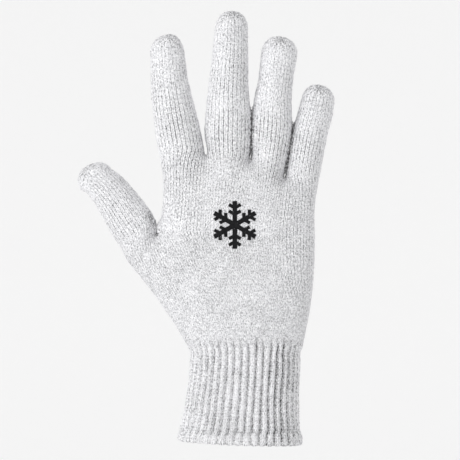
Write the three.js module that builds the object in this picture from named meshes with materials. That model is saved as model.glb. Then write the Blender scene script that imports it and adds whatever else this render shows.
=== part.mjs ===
// Knitted glove liner for a right hand, in the full form that it has when worn, open at the cuff.
// A glove of this kind is knitted in one go, tube by tube: four finger stalls are joined into the upper hand, the thumb
// stall joins below them into the lower hand, and the lower hand runs into a cuff of broad ribs. Each tube is a solid here.
// Millimetres. The origin is the centre of the cuff's mouth, +Z runs to the fingertips, -Y is the back of the hand,
// and the thumb lies on the -X side.
import * as THREE from "three";
import { mergeVertices } from "three/addons/utils/BufferGeometryUtils.js";

// Cloth
const wall = 1.8; // thickness of the plain knit
const seamGap = 0.3; // clearance between two tubes where the knit runs on

// Cuff
const cuffLength = 57;
const mouthBreadth = 71;
const mouthDepth = 54;
const cuffBreadth = 63; // narrowest, below the wrist
const wristBreadth = 65.6;
const wristDepth = 45;
const mouthTilt = 2.6; // the thumb side of the mouth lies higher by this
const wristShift = 3.1; // the wrist's centre lies this far towards the little finger
const ribCount = 42;
const ribHeight = 1.3; // depth of the valleys between the ribs
const ribWall = 1.4; // thickness left under a valley
const ribRunIn = 4; // length over which the ribs rise from the plain knit

// Hand
const palmLength = 111; // wrist to the root of the index finger, on its outer side
const palmDepth = 30;
const heelDepth = 37; // hand's thickness between the thumb's root and the wrist
const knuckleShift = -0.85; // the knuckles' centre, from the axis, towards the little finger
const webWidth = 1.1; // strip of knit between two fingers at a crotch
const thumbWebWidth = 2; // the same at the thumb
const webDrop = 12; // length over which a crotch between two fingers rounds into the hand
const thumbWebDrop = 17; // the same at the thumb
const knuckleValley = 0.12; // share of the valleys between the knuckles that lasts below the crotches
const waistIn = 3.4; // how far the index side of the hand draws in between finger and thumb
const littleIn = 1.5; // the same on the little finger's side
const thumbRootIn = 2.2; // how far the outline hollows between the thumb's root and the wrist
const heelOut = 1.8; // how far the outline swells on the little finger's side of the heel
const thenarRise = 6; // swelling of the ball of the thumb on the palm's side
const thumbRootHeight = 65; // wrist to the thumb's crotch
const heelHeight = 63.5; // wrist to the same level on the little finger's side
const thumbSet = 9; // how far the thumb's root lies towards the palm on its outer side
const thumbCrotchSet = 3; // the same at its crotch

// One row for each stall, from the index side. width runs from edge to edge at the root, drop is how much lower the
// root's far edge lies, lean is from upright in degrees, and curl is how far the tip bends towards the palm.
const fingers = [
  { name: "index", width: 27, depth: 21, length: 68, lean: -6.6, drop: 0.8, curl: 7 },
  { name: "middle", width: 24.3, depth: 21, length: 83, lean: 1.5, drop: 3.3, curl: 6 },
  { name: "ring", width: 20.8, depth: 19.5, length: 76, lean: 5.4, drop: 10, curl: 8 },
  { name: "little", width: 19.4, depth: 17.5, length: 55.3, lean: 10.8, drop: 1.9, curl: 9 },
];
const thumb = { name: "thumb", width: 22, depth: 21, length: 54.8, lean: -35.1, drop: -13.3, curl: 5 };

// Sections of each stall above its root: along is a share of the length, wide and sway are shares of the width, and
// deep is a share of the depth. The round end starts at the last row.
const stallSections = {
  index: [
    { along: 0.14, wide: 0.956, deep: 1.06, sway: -0.028 },
    { along: 0.33, wide: 0.89, deep: 1.05, sway: -0.059 },
    { along: 0.47, wide: 0.838, deep: 1, sway: -0.074 },
    { along: 0.62, wide: 0.77, deep: 0.95, sway: -0.083 },
    { along: 0.85, wide: 0.716, deep: 0.88, sway: -0.063 },
  ],
  middle: [
    { along: 0.13, wide: 1.085, deep: 1.04, sway: -0.02 },
    { along: 0.27, wide: 1.055, deep: 1.04, sway: -0.024 },
    { along: 0.43, wide: 0.957, deep: 1, sway: -0.039 },
    { along: 0.64, wide: 0.861, deep: 0.94, sway: -0.019 },
    { along: 0.87, wide: 0.774, deep: 0.86, sway: -0.005 },
  ],
  ring: [
    { along: 0.13, wide: 1.055, deep: 1.05, sway: 0.018 },
    { along: 0.3, wide: 1.1, deep: 1.04, sway: 0.02 },
    { along: 0.48, wide: 1.045, deep: 1, sway: -0.01 },
    { along: 0.66, wide: 0.957, deep: 0.95, sway: 0 },
    { along: 0.87, wide: 0.995, deep: 0.91, sway: 0.03 },
  ],
  little: [
    { along: 0.18, wide: 0.985, deep: 1.05, sway: -0.016 },
    { along: 0.36, wide: 1.015, deep: 1.02, sway: -0.028 },
    { along: 0.54, wide: 1.03, deep: 1, sway: -0.015 },
    { along: 0.7, wide: 1.005, deep: 0.99, sway: 0.02 },
    { along: 0.82, wide: 0.975, deep: 0.95, sway: 0.03 },
  ],
  thumb: [
    { along: 0.12, wide: 1.16, deep: 1.05, sway: 0.15 },
    { along: 0.2, wide: 1.2, deep: 1.06, sway: 0.17 },
    { along: 0.45, wide: 1.09, deep: 1.02, sway: 0.19 },
    { along: 0.62, wide: 1.0, deep: 0.98, sway: 0.185 },
    { along: 0.75, wide: 0.95, deep: 0.94, sway: 0.14 },
    { along: 0.83, wide: 0.97, deep: 0.92, sway: 0.07 },
  ],
};

// Sections of the cuff from its mouth towards the wrist: up is a share of the cuff's length, and spread is 1 where the
// cuff is as wide as its mouth and 0 where it is narrowest.
const cuffSections = [
  { up: 0, spread: 1 },
  { up: 0.15, spread: 0.82 },
  { up: 0.34, spread: 0.37 },
  { up: 0.64, spread: 0.1 },
];

// Printed mark on the back of the hand: a snowflake of six arms, each with pairs of side branches
const markCentre = { x: -3, z: 126 };
const markReach = 13.5; // middle to the end of an arm
const markBar = 2.6; // width of an arm
const markBranchWidth = 1.9;
const markBranches = [
  { from: 5.6, length: 2.9 },
  { from: 9.2, length: 2.9 },
];
const markThickness = 0.5;
const markGap = 0.3; // clearance over the knit

// Fineness of the faceted surface
const stripSegments = 8; // facets across one face of a stall
const capAngles = [30, 58, 80]; // rings of a round end, in degrees from its start
const upperRows = [0, 0.035, 0.13, 0.26, 0.45, 0.7, 1];
const lowerRows = [0, 0.04, 0.13, 0.26, 0.42, 0.6, 0.8, 1];
const outlineSteps = 160;
const handSquareness = 2.5; // 2 is an ellipse, more is boxier
const wristSquareness = 2.15;

const radians = THREE.MathUtils.degToRad;
const mix = THREE.MathUtils.lerp;
const settle = (x) => THREE.MathUtils.smoothstep(x, 0, 1);
const at = (x, y, z) => new THREE.Vector3(x, y, z);
const towards = (from, to, share) => from.clone().lerp(to, share);

// A smooth curve through values at rising knots, read at t: cubic pieces whose slopes are the mean of their neighbours'.
function through(knots, values, t) {
  const last = knots.length - 1;
  const slope = knots.map((_, i) => {
    const low = Math.max(i - 1, 0);
    const high = Math.min(i + 1, last);
    return (values[high] - values[low]) / (knots[high] - knots[low]);
  });
  let k = 0;
  while (k < last - 1 && t > knots[k + 1]) k += 1;
  const span = knots[k + 1] - knots[k];
  const s = Math.min(Math.max((t - knots[k]) / span, 0), 1);
  const rise = values[k + 1] - values[k];
  const bendIn = slope[k] * span - rise;
  const bendOut = rise - slope[k + 1] * span;
  return values[k] + s * rise + s * (1 - s) * ((1 - s) * bendIn + s * bendOut);
}

// Half outline of a section, front or back: points at equal lengths along a superellipse between the first bound and
// the last, with every bound met. counts holds the facets between each two bounds.
function halfOutline(bounds, counts, depthAt, squareness) {
  const left = bounds[0];
  const right = bounds[bounds.length - 1];
  const half = (right.x - left.x) / 2;
  const middle = (right.x + left.x) / 2;
  const xs = [];
  const rises = [];
  const lengths = [0];
  for (let i = 0; i <= outlineSteps; i += 1) {
    const angle = (Math.PI * i) / outlineSteps;
    xs.push(-Math.sign(Math.cos(angle)) * Math.abs(Math.cos(angle)) ** (2 / squareness));
    rises.push(Math.sin(angle) ** (2 / squareness) * depthAt(xs[i]));
    if (i > 0) lengths.push(lengths[i - 1] + Math.hypot(half * (xs[i] - xs[i - 1]), rises[i] - rises[i - 1]));
  }
  const read = (keys, values, key) => {
    let i = 0;
    while (i < outlineSteps - 1 && keys[i + 1] < key) i += 1;
    const share = (key - keys[i]) / Math.max(keys[i + 1] - keys[i], 1e-9);
    return mix(values[i], values[i + 1], Math.min(Math.max(share, 0), 1));
  };
  const marks = bounds.map((b) => read(xs, lengths, (b.x - middle) / half));
  const boundXs = bounds.map((b) => b.x);
  const points = [];
  counts.forEach((count, strip) => {
    for (let j = strip ? 1 : 0; j <= count; j += 1) {
      const length = mix(marks[strip], marks[strip + 1], j / count);
      const x = middle + half * read(lengths, xs, length);
      const y = through(boundXs, bounds.map((b) => b.y), x) + read(lengths, rises, length);
      points.push(at(x, y, through(boundXs, bounds.map((b) => b.z), x)));
    }
  });
  return points;
}

// Front and back of a section, each from the thumb side across.
const outlineOf = (bounds, counts, frontDepth, backDepth, squareness) => ({
  front: halfOutline(bounds, counts, (x) => -frontDepth(x), squareness),
  back: halfOutline(bounds, counts, backDepth, squareness),
});
const blendOf = (a, b, share) => ({
  front: a.front.map((p, i) => towards(p, b.front[i], share)),
  back: a.back.map((p, i) => towards(p, b.back[i], share)),
});
const joinOf = (...outlines) => ({
  front: outlines.flatMap((o) => o.front),
  back: outlines.flatMap((o) => o.back),
});
const ringOf = (outline) => [...outline.front, ...outline.back.slice(1, -1).reverse()];
const outlineOfRing = (ring) => ({
  front: ring.slice(0, ring.length / 2 + 1),
  back: [ring[0], ...ring.slice(ring.length / 2).reverse()],
});

// Wrist and roots
const wristLevel = cuffLength;
const wristLeft = at(wristShift - wristBreadth / 2, 0, wristLevel);
const wristRight = at(wristShift + wristBreadth / 2, 0, wristLevel);

// The edges of the four finger roots, two for each finger, laid end to end from the index side.
function fingerRoots() {
  const roots = [];
  const pen = at(0, 0, wristLevel + palmLength);
  fingers.forEach((finger, i) => {
    const slope = Math.asin(finger.drop / finger.width);
    if (i > 0) {
      const before = Math.asin(fingers[i - 1].drop / fingers[i - 1].width);
      const webSlope = (slope + before) / 2;
      pen.add(at(webWidth * Math.cos(webSlope), 0, -webWidth * Math.sin(webSlope)));
    }
    roots.push(pen.clone());
    pen.add(at(finger.width * Math.cos(slope), 0, -finger.drop));
    roots.push(pen.clone());
  });
  const shift = knuckleShift - (roots[0].x + pen.x) / 2;
  roots.forEach((root) => (root.x += shift));
  return roots;
}
const roots = fingerRoots();
const knuckleBreadth = roots[7].x - roots[0].x;

// The same eight edges where the four-finger hand meets the thumb, as shares of the hand's breadth.
const strandShares = [0, 0.275, 0.287, 0.52, 0.532, 0.755, 0.767, 1];
const handLeft = at(roots[0].x - thumbWebWidth / 4, thumbCrotchSet, wristLevel + thumbRootHeight);
const handRight = at(handLeft.x + 0.983 * knuckleBreadth, 0, wristLevel + heelHeight);
const strands = strandShares.map((share) => towards(handLeft, handRight, share));

// The thumb's root hangs from the crotch.
const thumbRise = Math.asin(-thumb.drop / thumb.width);
const thumbInner = handLeft.clone().add(at(-thumbWebWidth * Math.cos(thumbRise), 0, -thumbWebWidth * Math.sin(thumbRise)));
const thumbOuter = thumbInner
  .clone()
  .add(at(-thumb.width * Math.cos(thumbRise), thumbSet - thumbCrotchSet, -thumb.width * Math.sin(thumbRise)));

// Rings of one stall from its root to its tip. A ring runs from the thumb side over the back of the hand.
function stallRings(stall, left, right) {
  const count = 2 * stripSegments;
  const lean = radians(stall.lean);
  const up = at(Math.sin(lean), 0, Math.cos(lean));
  const side = at(Math.cos(lean), 0, -Math.sin(lean));
  const root = towards(left, right, 0.5);
  const rootSide = right.clone().sub(left).normalize();
  const rows = [{ along: 0, wide: 1, deep: 1.08, sway: 0 }, ...stallSections[stall.name]];
  const knots = rows.map((row) => row.along);
  const ring = (along, cap) => {
    const read = (column) => through(knots, rows.map((row) => row[column]), along);
    const capLength = (1 - knots[knots.length - 1]) * stall.length;
    const centre = root
      .clone()
      .addScaledVector(up, along * stall.length + capLength * Math.sin(cap))
      .addScaledVector(side, stall.width * read("sway") * Math.cos(cap));
    const reach = along + ((1 - along) * Math.sin(cap)) * (cap > 0 ? 1 : 0);
    centre.y += stall.curl * reach * reach;
    const across = towards(rootSide, side, settle(along / 0.35)).normalize();
    const shrink = Math.cos(cap) ** 0.9;
    const halfWidth = (stall.width / 2) * read("wide") * shrink;
    const halfDepth = (stall.depth / 2) * read("deep") * shrink;
    return Array.from({ length: count }, (_, j) => {
      const angle = (2 * Math.PI * j) / count;
      return centre
        .clone()
        .addScaledVector(across, -Math.cos(angle) * halfWidth)
        .add(at(0, -Math.sin(angle) * halfDepth, 0));
    });
  };
  const end = knots[knots.length - 1];
  const body = knots.map((along) => ring(along, 0));
  const cap = capAngles.map((angle) => ring(end, radians(angle)));
  const tip = root.clone().addScaledVector(up, stall.length);
  tip.y += stall.curl;
  return [...body, ...cap, [tip]];
}

// Upper hand: from the four finger roots, at 0, to the level of the thumb's crotch, at 1.
const fingerRings = fingers.map((finger, i) => stallRings(finger, roots[2 * i], roots[2 * i + 1]));
const upperCounts = fingers.flatMap((_, i) => (i ? [1, stripSegments] : [stripSegments]));

function upperOutline(down) {
  const bounds = roots.map((root, i) => towards(root, strands[i], down));
  const draw = Math.sin(Math.PI * Math.min(down, 1)) ** 0.8;
  bounds[0].x += waistIn * draw;
  bounds[7].x -= littleIn * draw;
  bounds[0].y = thumbCrotchSet * down * down;
  const lobes = fingers.map((finger, i) => {
    const pair = [bounds[2 * i], bounds[2 * i + 1]];
    const half = () => (finger.depth / 2) * 1.08;
    return outlineOf(pair, [stripSegments], half, half, 2);
  });
  const half = () => palmDepth / 2;
  const whole = outlineOf(bounds, upperCounts, half, half, handSquareness);
  const meanDrop = (roots[0].z + roots[7].z - handLeft.z - handRight.z) / 2;
  const fallen = Math.min((down * meanDrop) / webDrop, 1);
  const arch = Math.sqrt(1 - (1 - fallen) ** 2);
  return blendOf(joinOf(...lobes), whole, arch * (1 - knuckleValley * (1 - settle(down / 0.7))));
}

// Lower hand: from the thumb's root, at 0, to the wrist, at 1.
const thumbRings = stallRings(thumb, thumbOuter, thumbInner);
const lowerCounts = [stripSegments, 1, ...upperCounts];
const thumbShare = [0.215, 0.235]; // the thumb's strip and its web at the wrist, as shares of the breadth

function lowerOutline(down) {
  const hollow = Math.sin(Math.PI * down);
  const left = towards(thumbOuter, wristLeft, down).add(at(thumbRootIn * hollow, 0, 0));
  const right = towards(handRight, wristRight, down).add(at(heelOut * hollow, 0, 0));
  const across = (share) => towards(wristLeft, wristRight, share);
  const inner = towards(thumbInner, across(thumbShare[0]), down);
  const hand = strands.map((strand, i) => {
    return towards(strand, across(mix(thumbShare[1], 1, strandShares[i])), down);
  });
  hand[7] = right;
  const depth = through([0, 0.5, 1], [palmDepth, heelDepth, wristDepth], down) / 2;
  const thenar = (x) => depth + thenarRise * hollow * Math.exp(-(((x + 0.4) / 0.4) ** 2));
  const plain = () => depth;
  const squareness = mix(handSquareness, wristSquareness, settle(down));
  const thumbHalf = () => (thumb.depth / 2) * 1.08;
  const lobes = joinOf(
    outlineOf([left, inner], [stripSegments], thumbHalf, thumbHalf, 2),
    outlineOf(hand, upperCounts, plain, plain, handSquareness),
  );
  const whole = outlineOf([left, inner, ...hand], lowerCounts, plain, thenar, squareness);
  const fallen = Math.min((down * (thumbInner.z - wristLevel)) / thumbWebDrop, 1);
  return blendOf(lobes, whole, Math.sqrt(1 - (1 - fallen) ** 2));
}

// Skin: one closed-up surface of the hand and stalls, so that neighbours share their edges and their normals.
const triangles = [];
const pieces = new Map();

// Facets between two rings of the same count, the lower one first, facing out. A tip is a ring of one point.
function band(lower, upper) {
  const count = lower.length;
  lower.forEach((a, j) => {
    const b = lower[(j + 1) % count];
    if (upper.length === 1) {
      triangles.push([a, b, upper[0]]);
      return;
    }
    const c = upper[(j + 1) % count];
    const d = upper[j];
    if (b.distanceTo(c) > 1e-3 || a.distanceTo(d) > 1e-3) triangles.push([a, b, c], [a, c, d]);
  });
}

function piece(name, rings) {
  const first = triangles.length;
  for (let i = 0; i + 1 < rings.length; i += 1) band(rings[i], rings[i + 1]);
  pieces.set(name, [first, triangles.length]);
}

fingers.forEach((finger, i) => piece(`${finger.name}_stall`, fingerRings[i]));
piece("thumb_stall", thumbRings);
const rootRow = joinOf(...fingerRings.map((rings) => outlineOfRing(rings[0])));
const upperOutlines = upperRows.map((down) => (down ? upperOutline(down) : rootRow));
piece("upper_hand", upperOutlines.map(ringOf).reverse());
const thumbRow = joinOf(outlineOfRing(thumbRings[0]), upperOutlines[upperRows.length - 1]);
const lowerOutlines = lowerRows.map((down) => (down ? lowerOutline(down) : thumbRow));
piece("lower_hand", lowerOutlines.map(ringOf).reverse());

// An indexed geometry of triangles, with equal corners merged and with normals.
function surfaceOf(corners) {
  const geometry = new THREE.BufferGeometry().setFromPoints(corners.flat());
  const merged = mergeVertices(geometry, 1e-3);
  merged.computeVertexNormals();
  return merged;
}
const vertexOf = (attribute, i) => at(0, 0, 0).fromBufferAttribute(attribute, i);

// A wall between an outer and an inner copy of the same facets, closed with rims along every free edge. The free edges
// draw back by half of the seam gap, so that two neighbouring walls stay clear of each other.
function wallOf(facets, outer, inner) {
  const edges = new Map();
  facets.forEach(([a, b, c]) => {
    [[a, b], [b, c], [c, a]].forEach(([from, to]) => {
      if (!edges.delete(`${to}_${from}`)) edges.set(`${from}_${to}`, [from, to]);
    });
  });
  const rim = new Set([...edges.values()].flat());
  const inside = new Map([...rim].map((i) => [i, new Set()]));
  facets.forEach((facet) => {
    facet.filter((i) => rim.has(i)).forEach((i) => {
      facet.filter((j) => !rim.has(j)).forEach((j) => inside.get(i).add(j));
    });
  });
  const drawn = (points) => (i) => {
    const point = points[i].clone();
    if (!rim.has(i)) return point;
    const aim = at(0, 0, 0);
    inside.get(i).forEach((j) => aim.add(outer[j]).sub(outer[i]));
    return point.addScaledVector(aim.normalize(), seamGap / 2);
  };
  const out = drawn(outer);
  const within = drawn(inner);
  const corners = [];
  facets.forEach(([a, b, c]) => {
    corners.push([out(a), out(b), out(c)], [within(a), within(c), within(b)]);
  });
  edges.forEach(([a, b]) => {
    corners.push([out(b), out(a), within(a)], [out(b), within(a), within(b)]);
  });
  return new THREE.BufferGeometry().setFromPoints(corners.flat());
}

const skin = surfaceOf(triangles);
const skinPoints = Array.from({ length: skin.attributes.position.count }, (_, i) => {
  return vertexOf(skin.attributes.position, i);
});
const skinInside = skinPoints.map((point, i) => {
  return point.clone().addScaledVector(vertexOf(skin.attributes.normal, i), -wall);
});
function facetsOf(geometry, first, last) {
  const index = geometry.index.array;
  return Array.from({ length: last - first }, (_, k) => Array.from(index.slice(3 * (first + k), 3 * (first + k) + 3)));
}

// Ribbed cuff: a plain tube from the mouth to the wrist, whose outer face rises into ribs.
function cuffGeometry() {
  const perRib = 3;
  const count = perRib * ribCount;
  const levels = [...cuffSections, { up: 1 - ribRunIn / cuffLength, spread: 0 }, { up: 1, spread: 0 }];
  const rings = levels.map(({ up, spread }) => {
    const breadth = up === 1 ? wristBreadth : mix(cuffBreadth, mouthBreadth, spread);
    const depth = mix(wristDepth, mouthDepth, spread);
    const centre = wristShift * settle(up);
    const tilt = (mouthTilt / 2) * (1 - up);
    const level = cuffLength * up;
    const left = at(centre - breadth / 2, 0, level + tilt);
    const right = at(centre + breadth / 2, 0, level - tilt);
    const half = () => depth / 2;
    return ringOf(outlineOf([left, right], [count / 2], half, half, wristSquareness));
  });
  const facets = [];
  rings.slice(1).forEach((_, row) => {
    for (let j = 0; j < count; j += 1) {
      const next = (j + 1) % count;
      const [a, b, c, d] = [row * count + j, row * count + next, (row + 1) * count + next, (row + 1) * count + j];
      facets.push([a, b, c], [a, c, d]);
    }
  });
  const points = rings.flat();
  const plain = new THREE.BufferGeometry().setFromPoints(points).setIndex(facets.flat());
  plain.computeVertexNormals();
  const normals = points.map((_, i) => vertexOf(plain.attributes.normal, i));
  const plainFrom = points.length - count;
  const sunk = (depths) => points.map((point, i) => point.clone().addScaledVector(normals[i], -depths(i)));
  const outer = sunk((i) => (i % perRib === 0 && i < plainFrom ? ribHeight : 0));
  const inner = sunk((i) => (i < plainFrom ? ribHeight + ribWall : wall));
  return wallOf(facets, outer, inner);
}

// Snowflake as one flat outline, raised off the back of the hand point by point.
function markGeometry() {
  const origin = new THREE.Vector2(0, 0);
  const half = markBar / 2;
  const sin = Math.sin(Math.PI / 3);
  const cos = Math.cos(Math.PI / 3);
  const side = markBranches.flatMap(({ from, length }) => [
    [from, half],
    [from + length * cos, half + length * sin],
    [from + length * cos + markBranchWidth * sin, half + length * sin - markBranchWidth * cos],
    [from + markBranchWidth / sin, half],
  ]);
  const out = [...side, [markReach, half]];
  const corner = [half / Math.tan(Math.PI / 6), half];
  const arm = [...[corner, ...out].map(([along, across]) => [along, -across]), ...out.reverse()];
  const outline = Array.from({ length: 6 }, (_, k) => {
    return arm.map(([along, across]) => new THREE.Vector2(-across, along).rotateAround(origin, (Math.PI * k) / 3));
  });
  const shape = new THREE.Shape(outline.flat());
  const geometry = new THREE.ExtrudeGeometry(shape, { depth: markThickness, bevelEnabled: false });
  const target = new THREE.Mesh(skin, new THREE.MeshBasicMaterial({ side: THREE.DoubleSide }));
  const ray = new THREE.Raycaster();
  const place = geometry.attributes.position;
  for (let i = 0; i < place.count; i += 1) {
    const x = markCentre.x + place.getX(i);
    const z = markCentre.z + place.getY(i);
    ray.set(at(x, -palmDepth * 2, z), at(0, 1, 0));
    const surface = ray.intersectObject(target)[0].point.y;
    place.setXYZ(i, x, surface - markGap - place.getZ(i), z);
  }
  return geometry;
}

// Materials and the assembly
const plainKnit = new THREE.MeshStandardMaterial({ color: 0xd3d3d6, roughness: 0.95, metalness: 0 });
const ribKnit = new THREE.MeshStandardMaterial({ color: 0xcfcfd2, roughness: 0.95, metalness: 0 });
const print = new THREE.MeshStandardMaterial({ color: 0x1d1d1f, roughness: 0.7, metalness: 0 });

const glove = new THREE.Group();
function addPart(name, geometry, material) {
  const mesh = new THREE.Mesh(geometry, material);
  mesh.name = name;
  glove.add(mesh);
}
pieces.forEach(([first, last], name) => {
  addPart(name, wallOf(facetsOf(skin, first, last), skinPoints, skinInside), plainKnit);
});
addPart("rib_cuff", cuffGeometry(), ribKnit);
addPart("print_mark", markGeometry(), print);

export default glove;
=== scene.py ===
"""Knitted glove liner for a right hand, stitch by stitch.

Four finger stalls run into the upper hand, the thumb joins in the lower hand, and that runs into the ribbed
cuff. Every tube is a grid of wales (columns of stitches) and courses (rows of stitches) on the outline
formulas of the solids, and neighbouring tubes share the points of their seam. Lengths are in millimetres.
"""
import bpy
import numpy as np
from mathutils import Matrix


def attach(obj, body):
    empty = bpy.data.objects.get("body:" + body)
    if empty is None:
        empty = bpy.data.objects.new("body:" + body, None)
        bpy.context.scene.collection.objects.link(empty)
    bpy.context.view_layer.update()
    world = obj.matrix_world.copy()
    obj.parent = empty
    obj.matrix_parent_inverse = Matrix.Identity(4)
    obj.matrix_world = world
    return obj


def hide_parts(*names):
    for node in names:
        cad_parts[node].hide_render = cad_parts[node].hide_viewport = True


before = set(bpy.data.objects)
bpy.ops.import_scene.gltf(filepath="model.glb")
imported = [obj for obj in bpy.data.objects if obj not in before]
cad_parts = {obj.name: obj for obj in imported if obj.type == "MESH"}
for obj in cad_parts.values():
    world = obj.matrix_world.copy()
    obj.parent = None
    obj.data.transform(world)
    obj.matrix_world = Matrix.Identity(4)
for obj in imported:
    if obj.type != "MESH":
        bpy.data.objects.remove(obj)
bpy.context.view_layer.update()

MM = 0.001
WALL = 1.8

# Cuff
CUFF_LENGTH = 57.0
MOUTH_BREADTH = 71.0
MOUTH_DEPTH = 54.0
CUFF_BREADTH = 63.0
WRIST_BREADTH = 65.6
WRIST_DEPTH = 45.0
MOUTH_TILT = 2.6
WRIST_SHIFT = 3.1
RIB_HEIGHT = 1.3
RIB_WALL = 1.4
RIB_RUN_IN = 4.0
MOUTH_LIFT = 3.0
CUFF_UP = [0.0, 0.15, 0.34, 0.64, 0.93]
CUFF_SPREAD = [1.0, 0.82, 0.37, 0.1, 0.0]

# Hand
PALM_LENGTH = 111.0
PALM_DEPTH = 30.0
HEEL_DEPTH = 37.0
KNUCKLE_SHIFT = -0.85
WEB_WIDTH = 1.1
THUMB_WEB_WIDTH = 2.0
WEB_DROP = 12.0
THUMB_WEB_DROP = 17.0
KNUCKLE_VALLEY = 0.12
VALLEY_RUN = 0.7      # the valleys between the knuckles run out over this share of the upper hand
WAIST_IN = 3.4
LITTLE_IN = 1.5
DRAW_FULLNESS = 0.8   # lower is fuller
THUMB_ROOT_IN = 2.2
HEEL_OUT = 1.8
THENAR_RISE = 6.0
THENAR_PLACE = -0.4   # along the half breadth
THENAR_SPREAD = 0.4
HEEL_SHARE = 0.983    # breadth at the thumb's crotch over breadth at the knuckles
THUMB_ROOT_HEIGHT = 65.0
HEEL_HEIGHT = 63.5
THUMB_SET = 9.0
THUMB_CROTCH_SET = 3.0
ROOT_DEEP = 1.08
HAND_SQUARENESS = 2.5
WRIST_SQUARENESS = 2.15
STRAND_SHARES = [0, 0.275, 0.287, 0.52, 0.532, 0.755, 0.767, 1]
THUMB_SHARE = [0.215, 0.235]
EVEN_FROM = 0.25      # from this share of the lower hand on the stitches even out

# Stalls: width, depth, length, lean in degrees, drop of the root's far edge, curl of the tip, wales on each
# face, and sections over the root's as rows of along, wide, deep and sway.
STALLS = {
    "index": dict(width=27.0, depth=21.0, length=68.0, lean=-6.6, drop=0.8, curl=7.0, wales=15, sections=[
        (0.14, 0.956, 1.06, -0.028), (0.33, 0.89, 1.05, -0.059),
        (0.47, 0.838, 1.0, -0.074), (0.62, 0.77, 0.95, -0.083), (0.85, 0.716, 0.88, -0.063)]),
    "middle": dict(width=24.3, depth=21.0, length=83.0, lean=1.5, drop=3.3, curl=6.0, wales=14, sections=[
        (0.13, 1.085, 1.04, -0.02), (0.27, 1.055, 1.04, -0.024),
        (0.43, 0.957, 1.0, -0.039), (0.64, 0.861, 0.94, -0.019), (0.87, 0.774, 0.86, -0.005)]),
    "ring": dict(width=20.8, depth=19.5, length=76.0, lean=5.4, drop=10.0, curl=8.0, wales=14, sections=[
        (0.13, 1.055, 1.05, 0.018), (0.3, 1.1, 1.04, 0.02),
        (0.48, 1.045, 1.0, -0.01), (0.66, 0.957, 0.95, 0.0), (0.87, 0.995, 0.91, 0.03)]),
    "little": dict(width=19.4, depth=17.5, length=55.3, lean=10.8, drop=1.9, curl=9.0, wales=13, sections=[
        (0.18, 0.985, 1.05, -0.016), (0.36, 1.015, 1.02, -0.028),
        (0.54, 1.03, 1.0, -0.015), (0.7, 1.005, 0.99, 0.02), (0.82, 0.975, 0.95, 0.03)]),
    "thumb": dict(width=22.0, depth=21.0, length=54.8, lean=-35.1, drop=-13.3, curl=5.0, wales=17, sections=[
        (0.12, 1.16, 1.05, 0.15), (0.2, 1.2, 1.06, 0.17), (0.45, 1.09, 1.02, 0.19),
        (0.62, 1.0, 0.98, 0.185), (0.75, 0.95, 0.94, 0.14), (0.83, 0.97, 0.92, 0.07)]),
}
FINGERS = ["index", "middle", "ring", "little"]
SIDE_TURN = 0.35      # share of the stall over which its side turns square with the lean
CAP_FULLNESS = 0.9    # of the round end; lower is fuller
CAP_ROWS = 1.1        # rows of the round end over those along its chord

# Knit
PER_WALE = 4      # columns of points in one wale: its edge, a leg, its middle, a leg
PER_COURSE = 3    # rows of points in one course
COURSE = 1.5      # height of a course
WEB_WALES = 1
UPPER_ROWS = PER_COURSE * 28
LOWER_ROWS = PER_COURSE * 40
CUFF_ROWS = PER_COURSE * 32
INNER_SKIP = (PER_COURSE, PER_WALE)


def settle(x):
    """Smoothstep: 3x² - 2x³ on x held between 0 and 1."""
    x = np.clip(x, 0.0, 1.0)
    return x * x * (3.0 - 2.0 * x)


def lerp(a, b, share):
    return a + (b - a) * share


def bell(x):
    return np.exp(-x ** 2)


def unit(v):
    return v / np.maximum(np.linalg.norm(v, axis=-1, keepdims=True), 1e-12)


def through(knots, values, t):
    """Smooth curve through values at rising knots, read at t (numbers or arrays).

    Each span is a cubic whose end slopes are the mean slopes of its neighbouring spans.
    """
    knots = np.asarray(knots, float)
    values = np.asarray(values, float)
    last = len(knots) - 1
    low = np.maximum(np.arange(last + 1) - 1, 0)
    high = np.minimum(np.arange(last + 1) + 1, last)
    slope = (values[high] - values[low]) / (knots[high] - knots[low])
    k = np.clip(np.searchsorted(knots, t, side="left") - 1, 0, last - 1)
    span = knots[k + 1] - knots[k]
    s = np.clip((t - knots[k]) / span, 0.0, 1.0)
    rise = values[k + 1] - values[k]
    bend_in = slope[k] * span - rise
    bend_out = rise - slope[k + 1] * span
    return values[k] + s * rise + s * (1 - s) * ((1 - s) * bend_in + s * bend_out)


# Outlines of sections
STEPS = np.linspace(0.0, np.pi, 241)


def along_curve(x, y):
    """Length of a flat curve from its start to each of its points."""
    return np.append(0.0, np.cumsum(np.hypot(np.diff(x), np.diff(y))))


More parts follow.
